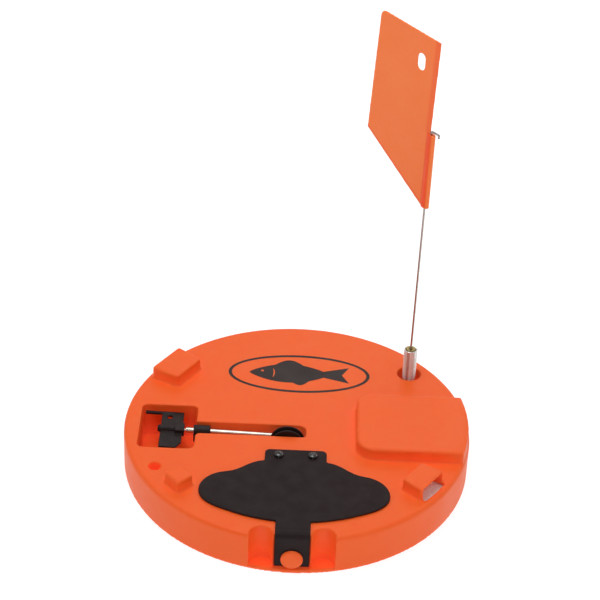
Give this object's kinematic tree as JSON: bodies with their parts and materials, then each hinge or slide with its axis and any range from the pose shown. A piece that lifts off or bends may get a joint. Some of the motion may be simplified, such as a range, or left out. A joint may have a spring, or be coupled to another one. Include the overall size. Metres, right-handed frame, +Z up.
{
  "type": "ice fishing tip-up",
  "caption": "Round insulated ice fishing tip-up: a disc that covers the hole, with a fold-down trip shaft and line spool, a flag on a coil spring and a flap over a tackle tray.",
  "frame": {"origin": "centre of the disc's underside, on the surface it rests on", "axes": "+Z up, -Y towards the flap's pull tab, +X towards the raised box; the flag stands at +X +Y"},
  "size_m": [0.28, 0.28, 0.3467],
  "materials": {
    "orange_shell": "satin",
    "white_foam": "matte",
    "flap_sheet": "matte",
    "black_screw": "gloss",
    "black_plastic": "satin",
    "steel": "satin",
    "spring_steel": "polished",
    "brass": "satin",
    "flag_plastic": "satin"
  },
  "bodies": {
    "base": {"base_shell": "orange_shell", "foam_insulation": "white_foam", "snap_button": "orange_shell", "flap_hinge_strip": "flap_sheet", "flap_screw_left": "black_screw", "flap_screw_right": "black_screw", "pivot_pin": "steel", "spring_stud": "steel", "flag_spring": "spring_steel"},
    "shaft": {"pivot_collar": "black_plastic", "shaft_tube": "steel", "tube_bushing_top": "steel", "tube_bushing_bottom": "steel", "spool_bracket": "black_plastic", "spool_screw": "steel"},
    "trip": {"trip_rod": "steel", "trip_head": "black_plastic"},
    "spool": {"line_spool": "black_plastic"},
    "flag": {"spring_ferrule": "brass", "flag_wire": "spring_steel", "flag_panel": "flag_plastic"},
    "flap": {"flap_cover": "flap_sheet"},
    "tab": {"flap_tab": "flap_sheet"}
  },
  "joints": [
    {"name": "shaft_pivot", "type": "hinge", "parent": "base", "child": "shaft", "pos_m": [-0.078, -0.0047, 0.0217], "axis": [0, 1, 0], "range_deg": [0, 88.3]},
    {"name": "trip_spin", "type": "hinge", "parent": "shaft", "child": "trip", "pos_m": [-0.07784, -0.0047, 0.0272], "axis": [0.9996, 0, -0.0297], "range_deg": [-100, 100]},
    {"name": "spool_spin", "type": "hinge", "parent": "shaft", "child": "spool", "pos_m": [-0.00738, -0.011, 0.02461], "axis": [0, 1, 0], "continuous": true},
    {"name": "flag_bend", "type": "hinge", "parent": "base", "child": "flag", "pos_m": [0.0928, 0.0787, 0.042], "axis": [0.4695, -0.8829, 0], "range_deg": [0, 78], "stiffness_Nm_per_rad": 0.12, "deforming": ["flag_spring"]},
    {"name": "flap_hinge", "type": "hinge", "parent": "base", "child": "flap", "pos_m": [0, -0.04665, 0.0351], "axis": [-1, 0, 0], "range_deg": [0, 105], "stiffness_Nm_per_rad": 0.01, "deforming": ["flap_tab"]},
    {"name": "tab_peel", "type": "hinge", "parent": "flap", "child": "tab", "pos_m": [0, -0.1334, 0.0335], "axis": [-1, 0, 0], "range_deg": [0, 60], "stiffness_Nm_per_rad": 0.004}
  ]
}
